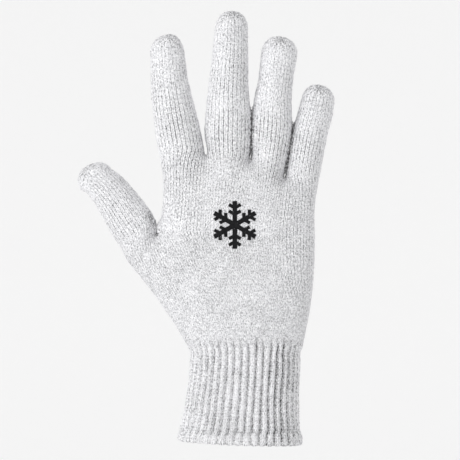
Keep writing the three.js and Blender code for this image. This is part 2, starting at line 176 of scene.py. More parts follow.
def half_outline(bounds, counts, depth, squareness, even=0.0, swell=0.0):
    """Half of a section, front or back, from its first bound to its last.

    A superellipse |x|^s + |y|^s = 1 is stretched over the chord between the end bounds. Each strip between
    two bounds gets its count of equal steps of arc length; even moves all steps towards one spacing. The
    chord's y and z are a smooth curve through the bounds. The ball of the thumb adds its swell to the depth.
    """
    bounds = np.asarray(bounds, float)
    middle = (bounds[-1, 0] + bounds[0, 0]) / 2
    half = (bounds[-1, 0] - bounds[0, 0]) / 2
    xs = -np.sign(np.cos(STEPS)) * np.abs(np.cos(STEPS)) ** (2 / squareness)
    depth = depth + swell * bell((xs - THENAR_PLACE) / THENAR_SPREAD)
    rises = np.sin(STEPS) ** (2 / squareness) * depth
    lengths = along_curve(half * xs, rises)
    marks = np.interp((bounds[:, 0] - middle) / half, xs, lengths)
    stations = np.concatenate([[0], np.cumsum(counts)])
    columns = np.arange(stations[-1] + 1)
    target = np.interp(columns, stations, marks)
    target = lerp(target, lengths[-1] * columns / stations[-1], even)
    x = middle + half * np.interp(target, lengths, xs)
    y = through(bounds[:, 0], bounds[:, 1], x) + np.interp(target, lengths, rises)
    z = through(bounds[:, 0], bounds[:, 2], x)
    return np.stack([x, y, z], axis=1)


def outline(bounds, counts, depth, squareness, even=0.0, swell=0.0):
    """Front and back halves of a section, each from the thumb's side across."""
    front = half_outline(bounds, counts, -depth, squareness, even)
    return np.stack([front, half_outline(bounds, counts, depth, squareness, even, swell)])


def lobe(name, bounds):
    """Oval of one stall's root."""
    stall = STALLS[name]
    return outline(bounds, [stall["wales"] * PER_WALE], stall["depth"] / 2 * ROOT_DEEP, 2.0)


def ring(halves):
    """The closed ring over the front and back again: front left to right, then back right to left."""
    return np.concatenate([halves[0], halves[1][1:-1][::-1]])


def ids_halves(ids):
    """Front and back halves of a ring of point numbers, each from the thumb's side across."""
    n = len(ids) // 2
    return ids[: n + 1], np.concatenate([ids[:1], ids[n:][::-1]])


# Roots of the stalls and the strands that run down from them
WRIST_LEFT = np.array([WRIST_SHIFT - WRIST_BREADTH / 2, 0.0, CUFF_LENGTH])
WRIST_RIGHT = np.array([WRIST_SHIFT + WRIST_BREADTH / 2, 0.0, CUFF_LENGTH])


def finger_roots():
    """Edges of the four finger roots laid end to end from the index side, each falling by its own drop."""
    pen = np.array([0.0, 0.0, CUFF_LENGTH + PALM_LENGTH])
    slopes = [np.arcsin(STALLS[f]["drop"] / STALLS[f]["width"]) for f in FINGERS]
    roots = []
    for i, name in enumerate(FINGERS):
        if i:
            web = (slopes[i] + slopes[i - 1]) / 2
            pen = pen + WEB_WIDTH * np.array([np.cos(web), 0.0, -np.sin(web)])
        roots.append(pen)
        pen = pen + np.array([STALLS[name]["width"] * np.cos(slopes[i]), 0.0, -STALLS[name]["drop"]])
        roots.append(pen)
    roots = np.array(roots)
    roots[:, 0] += KNUCKLE_SHIFT - (roots[0, 0] + roots[-1, 0]) / 2
    return roots


ROOTS = finger_roots()
KNUCKLES = ROOTS[7, 0] - ROOTS[0, 0]
HAND_LEFT = np.array([ROOTS[0, 0] - THUMB_WEB_WIDTH / 4, THUMB_CROTCH_SET, CUFF_LENGTH + THUMB_ROOT_HEIGHT])
HAND_RIGHT = np.array([HAND_LEFT[0] + HEEL_SHARE * KNUCKLES, 0.0, CUFF_LENGTH + HEEL_HEIGHT])
STRANDS = np.array([lerp(HAND_LEFT, HAND_RIGHT, share) for share in STRAND_SHARES])
THUMB_RISE = np.arcsin(-STALLS["thumb"]["drop"] / STALLS["thumb"]["width"])
THUMB_ALONG = np.array([np.cos(THUMB_RISE), 0.0, np.sin(THUMB_RISE)])
THUMB_INNER = HAND_LEFT - THUMB_WEB_WIDTH * THUMB_ALONG
THUMB_OUTER = THUMB_INNER - STALLS["thumb"]["width"] * THUMB_ALONG
THUMB_OUTER[1] += THUMB_SET - THUMB_CROTCH_SET


def stall_rows(name, left, right):
    """Rings of one stall from its root to just short of its tip, and the tip.

    Rings are ellipses across the stall's side direction, which turns from the root's slope to square with the
    lean. In the round end their radius falls with a power of an angle's cosine, and they go up with its sine.
    """
    stall = STALLS[name]
    sections = np.array([(0.0, 1.0, ROOT_DEEP, 0.0)] + stall["sections"])
    knots = sections[:, 0]
    count = stall["wales"] * PER_WALE
    lean = np.radians(stall["lean"])
    up = np.array([np.sin(lean), 0.0, np.cos(lean)])
    side = np.array([np.cos(lean), 0.0, -np.sin(lean)])
    root = (left + right) / 2
    body_length = knots[-1] * stall["length"]
    cap_length = stall["length"] - body_length
    cap_radius = stall["width"] / 2 * sections[-1, 1]
    body_count = PER_COURSE * int(round(body_length / COURSE))
    cap_count = PER_COURSE * int(round(np.hypot(cap_length, cap_radius) * CAP_ROWS / COURSE))
    along = np.concatenate([np.linspace(0, knots[-1], body_count + 1), np.full(cap_count - 1, knots[-1])])
    cap = np.concatenate([np.zeros(body_count + 1), np.pi / 2 * np.arange(1, cap_count) / cap_count])
    wide, deep, sway = (through(knots, sections[:, c], along) for c in (1, 2, 3))
    centre = root + along[:, None] * stall["length"] * up + (cap_length * np.sin(cap))[:, None] * up
    centre = centre + (stall["width"] * sway * np.cos(cap))[:, None] * side
    reach = along + (1 - along) * np.sin(cap)
    centre[:, 1] += stall["curl"] * reach ** 2
    across = unit(lerp(unit(right - left), side, settle(along / SIDE_TURN)[:, None]))
    shrink = np.cos(cap) ** CAP_FULLNESS
    half_width = stall["width"] / 2 * wide * shrink
    half_depth = stall["depth"] / 2 * deep * shrink
    rows = []
    for a, b, c, s in zip(half_width, half_depth, centre, across):
        lengths = along_curve(a * np.cos(STEPS), b * np.sin(STEPS))
        angle = np.interp(np.linspace(0, lengths[-1], count + 1), lengths, STEPS)
        chord = c - a * np.cos(angle)[:, None] * s
        bulge = b * np.sin(angle)[:, None] * np.array([0.0, 1.0, 0.0])
        rows.append(ring(np.stack([chord - bulge, chord + bulge])))
    tip = root + stall["length"] * up + np.array([0.0, stall["curl"], 0.0])
    return np.array(rows), tip


def strip_counts(names):
    """Columns of one face below the named stalls, with a web's between two stalls."""
    counts = []
    for name in names:
        counts += [WEB_WALES * PER_WALE, STALLS[name]["wales"] * PER_WALE]
    return counts[1:]


UPPER_COUNTS = strip_counts(FINGERS)
LOWER_COUNTS = strip_counts(["thumb"] + FINGERS)
WEB_STEPS = np.linspace(0, 1, WEB_WALES * PER_WALE + 1)[1:-1, None]


def join_halves(parts):
    """Halves of several sections side by side, with webs between them."""
    joined = []
    for face in (0, 1):
        row = [parts[0][face]]
        for part in parts[1:]:
            row.append(lerp(row[-1][-1], part[face][0], WEB_STEPS))
            row.append(part[face])
        joined.append(np.concatenate(row))
    return np.stack(joined)


def upper_halves(down):
    """Section of the upper hand: finger lobes at 0 melt into one flat oval along a quarter arc."""
    bounds = lerp(ROOTS, STRANDS, down)
    draw = np.sin(np.pi * down) ** DRAW_FULLNESS
    bounds[0, 0] += WAIST_IN * draw
    bounds[7, 0] -= LITTLE_IN * draw
    bounds[0, 1] = THUMB_CROTCH_SET * down * down
    lobes = [lobe(name, bounds[2 * i:2 * i + 2]) for i, name in enumerate(FINGERS)]
    whole = outline(bounds, UPPER_COUNTS, PALM_DEPTH / 2, HAND_SQUARENESS)
    mean_drop = (ROOTS[0, 2] + ROOTS[7, 2] - HAND_LEFT[2] - HAND_RIGHT[2]) / 2
    fallen = min(down * mean_drop / WEB_DROP, 1.0)
    arch = np.sqrt(1 - (1 - fallen) ** 2)
    return lerp(join_halves(lobes), whole, arch * (1 - KNUCKLE_VALLEY * (1 - settle(down / VALLEY_RUN))))


def lower_halves(down):
    """Section of the lower hand: thumb and hand at 0 melt into one that rounds towards the wrist at 1."""
    hollow = np.sin(np.pi * down)
    left = lerp(THUMB_OUTER, WRIST_LEFT, down) + np.array([THUMB_ROOT_IN * hollow, 0, 0])
    right = lerp(HAND_RIGHT, WRIST_RIGHT, down) + np.array([HEEL_OUT * hollow, 0, 0])
    across = lambda share: lerp(WRIST_LEFT, WRIST_RIGHT, share)
    inner = lerp(THUMB_INNER, across(THUMB_SHARE[0]), down)
    hand = np.array([lerp(strand, across(lerp(THUMB_SHARE[1], 1, share)), down)
                     for strand, share in zip(STRANDS, STRAND_SHARES)])
    hand[7] = right
    depth = through([0, 0.5, 1], [PALM_DEPTH, HEEL_DEPTH, WRIST_DEPTH], down) / 2
    palm = outline(hand, UPPER_COUNTS, depth, HAND_SQUARENESS)
    lobes = join_halves([lobe("thumb", [left, inner]), palm])
    squareness = lerp(HAND_SQUARENESS, WRIST_SQUARENESS, settle(down))
    bounds = np.concatenate([[left, inner], hand])
    even = settle((down - EVEN_FROM) / (1 - EVEN_FROM))
    whole = outline(bounds, LOWER_COUNTS, depth, squareness, even, THENAR_RISE * hollow)
    fallen = min(down * (THUMB_INNER[2] - CUFF_LENGTH) / THUMB_WEB_DROP, 1.0)
    return lerp(lobes, whole, np.sqrt(1 - (1 - fallen) ** 2))


def cuff_halves(up):
    """Section of the cuff over its ribs: breadth and depth shrink from the mouth's to the wrist's."""
    spread = through(CUFF_UP, CUFF_SPREAD, up)
    run_in = 1 - settle((1 - up) * CUFF_LENGTH / RIB_RUN_IN)
    breadth = lerp(CUFF_BREADTH, MOUTH_BREADTH, spread) + (WRIST_BREADTH - CUFF_BREADTH) * run_in
    depth = lerp(WRIST_DEPTH, MOUTH_DEPTH, spread)
    centre = WRIST_SHIFT * settle(up)
    tilt = MOUTH_TILT / 2 * (1 - up)
    left = [centre - breadth / 2, 0.0, CUFF_LENGTH * up + tilt]
    right = [centre + breadth / 2, 0.0, CUFF_LENGTH * up - tilt]
    return outline([left, right], [sum(LOWER_COUNTS)], depth / 2, WRIST_SQUARENESS)


# The whole skin as one set of points, and each tube as a grid of point numbers
points = np.zeros((0, 3))


def add_points(block):
    """Adds points to the skin and gives their numbers."""
    global points
    block = np.asarray(block, float)
    ids = len(points) + np.arange(block.size // 3).reshape(block.shape[:-1])
    points = np.concatenate([points, block.reshape(-1, 3)])
    return ids


tubes = {}
tips = {}
for name, ends in dict(zip(FINGERS, ROOTS.reshape(4, 2, 3)), thumb=(THUMB_OUTER, THUMB_INNER)).items():
    rows, tip = stall_rows(name, *ends)
    tubes[name] = add_points(rows)
    tips[name] = add_points(tip[None])[0]


def seam_row(rings):
    """Ring along which tubes are joined, in point numbers; both faces share the web's inner points."""
    fronts, backs = [], []
    for ids in rings:
        front, back = ids_halves(ids)
        if fronts:
            web = add_points(lerp(points[fronts[-1][-1]], points[front[0]], WEB_STEPS))
            fronts.append(web)
            backs.append(web)
        fronts.append(front)
        backs.append(back)
    return ring([np.concatenate(fronts), np.concatenate(backs)])


seam = seam_row([tubes[name][0] for name in FINGERS])
rows = [ring(upper_halves(down)) for down in np.linspace(0, 1, UPPER_ROWS + 1)[1:]]
tubes["upper"] = np.concatenate([add_points(rows)[::-1], seam[None]])
seam = seam_row([tubes["thumb"][0], tubes["upper"][0]])
rows = [ring(lower_halves(down)) for down in np.linspace(0, 1, LOWER_ROWS + 1)[1:]]
tubes["lower"] = np.concatenate([add_points(rows)[::-1], seam[None]])
rows = [ring(cuff_halves(up)) for up in np.linspace(MOUTH_LIFT / CUFF_LENGTH, 1, CUFF_ROWS + 1)[:-1]]
tubes["cuff"] = np.concatenate([add_points(rows), tubes["lower"][:1]])
skin = points


def grid_faces(ids):
    """Quads of a grid of point numbers whose last column meets its first."""
    right = np.roll(ids, -1, axis=1)
    return np.stack([ids[:-1], right[:-1], right[1:], ids[1:]], axis=-1).reshape(-1, 4)


def tip_faces(ids, tip):
    """Triangles from a stall's last ring to its tip, written as quads that repeat the tip."""
    last = ids[-1]
    after = np.roll(last, -1)
    return np.stack([last, after, np.full_like(last, tip), np.full_like(last, tip)], axis=1)


skin_faces = np.concatenate([grid_faces(ids) for ids in tubes.values()] +
                            [tip_faces(tubes[name], tips[name]) for name in tips])


def skin_normals(at):
    """Unit normals at the skin's points: the sum of the area vectors of the faces around each."""
    corner = at[skin_faces]
    area = np.cross(corner[:, 2] - corner[:, 0], corner[:, 3] - corner[:, 1])
    total = np.zeros_like(at)
    for axis in range(3):
        total[:, axis] = np.bincount(skin_faces.ravel(), np.repeat(area[:, axis], 4), len(at))
    return unit(total)


# Relaxing at the seams, with the rows over which it fades
STALL_FADE = 18.0
SEAM_FADE = {"upper": 30.0, "lower": 36.0}
LOW_END_FADE = 10.0
LOW_END_SHARE = 0.6
LEAST_FADE = 0.02
RELAX_STRENGTH = 0.5
RELAX_ROUNDS = 60


def grid_lines(ids):
    """Lines between neighbours in a grid of point numbers, across and along."""
    across = np.stack([ids, np.roll(ids, -1, axis=1)], axis=-1).reshape(-1, 2)
    along = np.stack([ids[:-1], ids[1:]], axis=-1).reshape(-1, 2)
    return np.concatenate([across, along])


def relax(at, strength, rounds):
    """Moves each point towards the mean of its neighbours by its own strength, round after round."""
    lines = np.concatenate([grid_lines(ids) for ids in tubes.values()])
    a, b = np.unique(np.sort(lines, axis=1), axis=0).T
    n = len(at)
    degree = np.bincount(a, minlength=n) + np.bincount(b, minlength=n)
    for _ in range(rounds):
        sums = [np.bincount(a, at[b, k], n) + np.bincount(b, at[a, k], n) for k in range(3)]
        mean = np.stack(sums, axis=1) / np.maximum(degree, 1)[:, None]
        at = at + strength[:, None] * (mean - at)
    return at


def near_seam():
    """Strength of relaxing: full at the seams between tubes, none some courses away from them."""
    strength = np.zeros(len(skin))
    for name, ids in tubes.items():
        if name == "cuff":
            continue
        rows = np.arange(len(ids))
        if name in tips:
            fade = bell(rows / STALL_FADE)
        else:
            fade = bell((len(ids) - 1 - rows) / SEAM_FADE[name])
        fade = np.where(fade < LEAST_FADE, 0, fade)
        if name == "upper":
            fade = np.maximum(fade, LOW_END_SHARE * bell(rows / LOW_END_FADE))
        strength[ids] = np.maximum(strength[ids], fade[:, None])
    return RELAX_STRENGTH * strength


skin = relax(skin, near_seam(), RELAX_ROUNDS)
normals = skin_normals(skin)

# Random felt
FELT_SIZE = 32
SEEDS = dict(stitch=11, patch=7, sway=21, jitter=22, depth=23, start=24, pleat=41, fibre=31)


def felt(at, cell, seed):
    """Smooth random height from -1 to 1: a random lattice of the given cell with smoothstep weights."""
    table = np.random.default_rng(seed).uniform(-1, 1, (FELT_SIZE, FELT_SIZE, FELT_SIZE))
    place = at / cell
    base = np.floor(place).astype(int)
    f = settle(place - base)
    total = np.zeros(len(at))
    for corner in range(8):
        step = np.array([corner >> 2 & 1, corner >> 1 & 1, corner & 1])
        weight = np.prod(np.where(step, f, 1 - f), axis=1)
        i, j, k = ((base + step) % FELT_SIZE).T
        total += weight * table[i, j, k]
    return total


def felt_on(ids, cell, use, stretch=1.0):
    """Felt on a grid of point numbers; a stretch below 1 draws it out along that axis."""
    return felt(skin[ids.ravel()] * stretch, cell, SEEDS[use]).reshape(ids.shape)


# Stitches: relief, shift along the wale, shade, and numbers of wale and course for every point
WALE_PROFILE = np.array([-1.0, 0.6, -0.1, 0.6])
COURSE_PROFILE = np.array([-0.7, 0.45, 0.25])
CHEVRON = 0.3 * np.array([0.5, 0.0, -0.5, 0.0])
TIGHT_WALE = 1.3      # narrower wales have a lower relief
BLURRED_WALE = 1.6    # narrower wales show less plainly
OWN_RELIEF = 0.09
UNEVEN_WALES = 0.45
PATCH_CELL = 13.0
FULL_SHADE = 0.4      # relief that counts as a full step of shade

# How plainly the stitches show at the tube's lower and upper end, relief of a wale and of a course, and how
# much painted shade darkens the whole tube
LOOKS = {
    "index": (0.95, 0.3, 0.4, 0.1, 0.0),
    "middle": (1.0, 0.5, 0.4, 0.1, 0.0),
    "ring": (1.0, 0.4, 0.4, 0.1, 0.0),
    "little": (0.9, 0.4, 0.36, 0.1, 0.0),
    "thumb": (0.8, 0.32, 0.3, 0.1, 0.0),
    "upper": (0.55, 0.95, 0.3, 0.07, 0.2),
    "lower": (0.45, 0.7, 0.21, 0.07, 0.25),
    "cuff": (0.75, 0.7, 0.2, 0.12, 0.0),
}
RIBS = 42
RIB_COLUMNS = 2 * sum(LOWER_COUNTS) / RIBS
RIB_WALES = 4

# height is painted shade: the further it falls below 0, the darker the knit's colour
relief, height, clearness = np.zeros((3, len(skin)))
shift = np.zeros((len(skin), 3))
first_wale = 0
first_course = 0
numbers = {}
rng = np.random.default_rng(SEEDS["stitch"])
for name, ids in tubes.items():
    count_rows, count_columns = ids.shape
    at = skin[ids]
    low_clear, high_clear, wale, course, overall_shade = LOOKS[name]
    width = np.linalg.norm(np.roll(at, -1, axis=1) - np.roll(at, 1, axis=1), axis=2) / 2 * PER_WALE
    up = unit(np.gradient(at, axis=0))
    wale_phase = np.arange(count_columns) % PER_WALE
    course_phase = np.arange(count_rows) % PER_COURSE
    stitch = rng.uniform(-1, 1, (count_rows // PER_COURSE + 2, count_columns // PER_WALE))
    own = np.repeat(np.repeat(stitch, PER_COURSE, axis=0)[:count_rows], PER_WALE, axis=1)
    uneven = 1 + UNEVEN_WALES * rng.uniform(-1, 1, count_columns // PER_WALE)
    uneven = np.repeat(uneven, PER_WALE)[None, :]
    clear = lerp(low_clear, high_clear, settle(np.linspace(-0.35, 1.1, count_rows))[:, None])
    plain = settle(width / BLURRED_WALE)
    clear = np.clip(clear * (0.75 + 0.45 * felt_on(ids, PATCH_CELL, "patch")), 0.1, 1.0) * plain
    form = wale * WALE_PROFILE[wale_phase][None, :] * settle(width / TIGHT_WALE) * clear * uneven
    form = form + course * COURSE_PROFILE[course_phase][:, None] * (0.5 + 0.5 * clear)
    form = form + OWN_RELIEF * own * (wale_phase % 2)[None, :]
    # Painted shade in the stitches' recesses, where their relief sinks
    # The hand's broad faces get an even painted shade all over
    height[ids] = form / FULL_SHADE * lerp(0.45, 1.0, plain) - overall_shade
    relief[ids] = form
    clearness[ids] = clear
    shift[ids] = up * CHEVRON[wale_phase][None, :, None] * clear[..., None]
    in_wale = RIB_COLUMNS / RIB_WALES if name == "cuff" else PER_WALE
    wales_up = first_wale + np.arange(count_columns) / in_wale
    numbers[name] = np.meshgrid(wales_up, first_course + np.arange(count_rows) / PER_COURSE)
    first_wale += count_columns // PER_WALE
    first_course += count_rows // PER_COURSE

# Ribs of the cuff, by their level over the solids' mouth
RIB_TOP = 63.5
RIB_START = 2.2       # unevenness of their upper ends
RIB_RUN_OUT = 10.0
WELT_TOP = 11.0
WELT_RUN_OUT = 4.0
WELT_TURN = 0.22      # ribs stand aside in the welt
WELT_FLAT = 0.35
PUFF = 0.6
PUFF_TOP = 9.0
FOLD = 0.4            # depth of the groove over the welt
FOLD_LEVEL = 9.5
FOLD_SPREAD = 1.1
SCALLOP = 0.55
SCALLOP_TOP = 5.0
# Width of the painted shadow line along a rib valley
SPECK_WIDTH = 0.09    # dark line in a valley


def rib_profile(phase):
    """Depth below the outline across one rib: a raised cosine to the power 1.5, 0 on the crest and 1 in the
    valley at phase 0, with a faint groove along the middle of the crest."""
    valley = (0.5 + 0.5 * np.cos(2 * np.pi * phase)) ** 1.5
    groove = 0.13 * bell((phase - 0.5) / 0.07)
    return valley + groove


for name in ("lower", "cuff"):
    ids = tubes[name]
    level = skin[ids][..., 2]
    rib = np.arange(ids.shape[1]) / RIB_COLUMNS + np.zeros(ids.shape)
    welt = settle((WELT_TOP - level) / WELT_RUN_OUT)
    aside = 0.09 * felt_on(ids, 5.0, "sway", np.array([1, 1, 0.35])) + 0.035 * felt_on(ids, 1.6, "jitter")
    aside += WELT_TURN * welt
    start = RIB_START * np.random.default_rng(SEEDS["start"]).uniform(-1, 1, RIBS)[rib.astype(int) % RIBS]
    if name == "cuff":
        numbers[name][0] += RIB_WALES * aside
    phase = (rib + aside) % 1.0
    fade = settle((RIB_TOP + start - level) / RIB_RUN_OUT) * (1 - WELT_FLAT * welt)
    if name == "lower":
        fade[[0, -1]] = 0
    sunk = rib_profile(phase) * fade * (1 + 0.25 * felt_on(ids, 1.4, "depth"))
    puff = welt * np.sin(np.pi * np.clip((PUFF_TOP - level) / PUFF_TOP, 0, 1))
    groove = bell((level - FOLD_LEVEL) / FOLD_SPREAD)
    # Toward the little finger's side the ribs sink deeper, and their valleys get more painted shade and a
    # darker painted shadow line
    little_side = settle((skin[ids][..., 0] + 5) / 40)
    rib_depth_and_shade = lerp(0.8, 1.4, little_side)
    valley_shadow_line = lerp(0.4, 2.4, settle(little_side)) * fade * bell(np.minimum(phase, 1 - phase) / SPECK_WIDTH)
    relief[ids] += -(RIB_HEIGHT + 0.2 + 0.4 * rib_depth_and_shade) * sunk + PUFF * puff - FOLD * groove
    # Painted shade in the rib valleys, in the groove over the welt, and along each valley's shadow line
    height[ids] -= 0.9 * rib_depth_and_shade * sunk + FOLD * groove + valley_shadow_line
    shift[ids, 2] += SCALLOP * settle((SCALLOP_TOP - level) / SCALLOP_TOP) * np.cos(2 * np.pi * phase)

# Gathers round a pole on the front of each tip
PLEATS = 10
PLEAT_COURSES = 12
PLEAT_REACH = 6.0
PLEAT_DEPTH = 0.8
PLEAT_SHADE = 3.2
POLE_BELOW = 3.5
POLE_FRONT = 4.2
for name, tip in tips.items():
    near = np.append(tubes[name][-PER_COURSE * PLEAT_COURSES:].ravel(), tip)
    lean = np.radians(STALLS[name]["lean"])
    pole = skin[tip] - np.array([POLE_BELOW * np.sin(lean), POLE_FRONT, POLE_BELOW * np.cos(lean)])
    away = skin[near] - pole
    reach = np.linalg.norm(away, axis=1)
    angle = np.arctan2(away[:, 2] + 0.6 * away[:, 1], away[:, 0])
    fold = (0.5 + 0.5 * np.cos(PLEATS * angle + 1.2 * felt(skin[near], 3.0, SEEDS["pleat"]))) ** 2
    strength = bell(reach / PLEAT_REACH) * settle((reach - 0.8) / 1.5)
    relief[near] -= PLEAT_DEPTH * strength * fold
    # Painted shade in the folds of the gathers
    height[near] += strength * (0.5 - PLEAT_SHADE * fold)

# Unevenness of the whole skin: amount, cell and seed
for amount, cell, seed in [(0.10, 2.3, 3), (0.10, 1.0, 4), (0.28, 11.0, 5)]:
    relief += amount * felt(skin, cell, seed)
outer = skin + shift + relief[:, None] * normals

# Slits: tubes on both sides, width up to which they close, courses from the root, and painted shade
SLITS = [
    ("index", "middle", 1.0, 12, 3.0),
    ("middle", "ring", 1.3, 26, 4.0),
    ("ring", "little", 1.3, 26, 4.0),
    ("thumb", "upper", 3.0, 12, 0.0),
]
EDGE_COLUMNS = 14
TOUCH = 1.1


def close_slit(left, right, reach, courses, shade):
    """Presses two neighbouring tubes together: each point near a slit narrower than the reach moves almost
    half of the way to the nearest point across. Where the two all but touch, the knit gets painted shade."""
    half = tubes[left].shape[1] // 2
    rows = PER_COURSE * courses
    a = tubes[left][:rows, half - EDGE_COLUMNS:half + EDGE_COLUMNS + 1].ravel()
    b = tubes[right][:rows, np.arange(-EDGE_COLUMNS, EDGE_COLUMNS + 1)].ravel()

    def apart():
        gaps = np.linalg.norm(outer[a][:, None] - outer[b][None], axis=2)
        return (a, b, gaps), (b, a, gaps.T)

    moves = []
    for ids, others, gaps in apart():
        weight = 0.47 * settle((1.4 * reach - gaps.min(axis=1)) / (0.4 * reach))
        moves.append((ids, (outer[others[gaps.argmin(axis=1)]] - outer[ids]) * weight[:, None]))
    for ids, move in moves:
        outer[ids] += move
    for ids, others, gaps in apart():
        # Painted shade where the tubes all but touch
        height[ids] -= shade * bell(gaps.min(axis=1) / TOUCH)


for slit in SLITS:
    close_slit(*slit)

# The thumb's side that turns into its crotch is darkened with painted shade
CROTCH_COURSE = 6
CROTCH_FRONT = np.array([0.0, -5.0, 0.0])
CROTCH_SPREAD = np.array([4.5, 6.0, 6.5])
CROTCH_SHADE = 1.9
thumb_ids = tubes["thumb"].ravel()
crotch = skin[tubes["thumb"][PER_COURSE * CROTCH_COURSE, tubes["thumb"].shape[1] // 2]] + CROTCH_FRONT
# Painted shade near the thumb's crotch
height[thumb_ids] -= CROTCH_SHADE * bell((skin[thumb_ids] - crotch) / CROTCH_SPREAD).prod(axis=1)

# Inner wall
INNER_RIB = 0.35
inner = skin - WALL * normals
cuff_ids = tubes["cuff"]
cuff_phase = np.arange(cuff_ids.shape[1]) / RIB_COLUMNS + np.zeros(cuff_ids.shape)
cuff_inset = RIB_HEIGHT + RIB_WALL + INNER_RIB * np.cos(2 * np.pi * cuff_phase)
cuff_inset[-1] = WALL
inner[cuff_ids] = skin[cuff_ids] - cuff_inset[..., None] * normals[cuff_ids]
outer_normals = skin_normals(outer)
total = len(skin)

# Lip of the cuff's mouth: half a turn from the outer to the inner wall
LIP = 6
LIP_BULGE = 0.6
lip_out = outer[cuff_ids[0]]
lip_in = inner[cuff_ids[0]]
lip_middle = (lip_out + lip_in) / 2
bulge = LIP_BULGE / 2 * np.linalg.norm(lip_out - lip_in, axis=1)[:, None] * np.array([0.0, 0.0, -1.0])
turns = np.pi * np.arange(1, LIP) / LIP
lip = np.array([lip_middle + (lip_out - lip_middle) * np.cos(t) + bulge * np.sin(t) for t in turns])
lip_ids = 2 * total + np.arange(lip.size // 3).reshape(lip.shape[:2])
every_point = np.concatenate([outer, inner, lip.reshape(-1, 3)])
every_normal = np.concatenate([outer_normals, -normals, unit(lip - lip_middle).reshape(-1, 3)])


def inner_ids(ids, skip=INNER_SKIP):
    """The inner wall's grid: some rows and columns of the outer one."""
    return total + ids[:: skip[0], :: skip[1]]


def rim(outside, inside, upwards):
    """Closes the wall's edge: one many-sided face for each step of the coarser inner ring."""
    count = len(inside)
    ratio = len(outside) // count
    outside = np.append(outside, outside[0])
    inside = np.append(inside, inside[0])
    chunk = np.stack([outside[np.arange(count) * ratio + k] for k in range(ratio + 1)], axis=1)
    faces = np.concatenate([chunk, inside[1:, None], inside[:-1, None]], axis=1)
    return faces if upwards else faces[:, ::-1]


def add_object(name, data):
    made = bpy.data.objects.new(name, data)
    bpy.context.scene.collection.objects.link(made)
    return made


def make_piece(name, tube, node, material, faces):
    """Piece from arrays of faces, numbered on every_point.

    The knit map holds the tube's numbers of wale and course. Where a face spans the first and last wale, the
    first one's number goes on from the last one's, and a tip takes the mean of its face's other corners.
    """
    used, local = np.unique(np.concatenate([f.ravel() for f in faces]), return_inverse=True)
    sizes = np.concatenate([np.full(len(f), f.shape[1]) for f in faces])
    mesh = bpy.data.meshes.new(name)
    mesh.vertices.add(len(used))
    mesh.vertices.foreach_set("co", (every_point[used] * MM).ravel())
    mesh.loops.add(len(local))
    mesh.loops.foreach_set("vertex_index", local.astype(np.int32))
    mesh.polygons.add(len(sizes))
    mesh.polygons.foreach_set("loop_start", np.append(0, np.cumsum(sizes)[:-1]).astype(np.int32))
    mesh.polygons.foreach_set("use_smooth", np.ones(len(sizes), bool))
    mesh.update(calc_edges=True)
    on_lip = cuff_ids[0][(used - 2 * total) % cuff_ids.shape[1]]
    base = np.where(used >= 2 * total, on_lip, used % total)
    flat = np.full((total, 2), np.nan)
    flat[tubes[tube]] = np.stack(numbers[tube], axis=-1)
    around = np.ptp(numbers[tube][0]) * 1.0001
    uv = flat[base][local]
    first = 0
    for block in faces:
        part = uv[first:first + block.size].reshape(*block.shape, 2)
        low = np.nanmax(part[..., :1], axis=1, keepdims=True) - around / 2
        part[..., :1] += around * (part[..., :1] < low)
        part[:] = np.where(np.isnan(part), np.nanmean(part, axis=1, keepdims=True), part)
        uv[first:first + block.size] = part.reshape(-1, 2)
        first += block.size
    mesh.uv_layers.new(name="knit").data.foreach_set("uv", uv.astype(np.float32).ravel())
    for label, values in (("height", height[base]), ("clearness", clearness[base])):
        mesh.attributes.new(label, "FLOAT", "POINT").data.foreach_set("value", values.astype(np.float32))
    mesh.normals_split_custom_set_from_vertices(every_normal[used].tolist())
    mesh.materials.append(material)
    piece = add_object(name, mesh)
    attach(piece, "root")
    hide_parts(node)


def quads_of(name):
    """Outer quads, and inner quads turned round."""
    ids = tubes[name]
    return [grid_faces(ids), grid_faces(inner_ids(ids))[:, ::-1]]


def end_rim(name, row, upwards):
    """Rim between both walls at the first or last row of a tube."""
    ids = tubes[name]
    return rim(ids[row], inner_ids(ids)[row], upwards)


# Materials
TURN = 6.2832


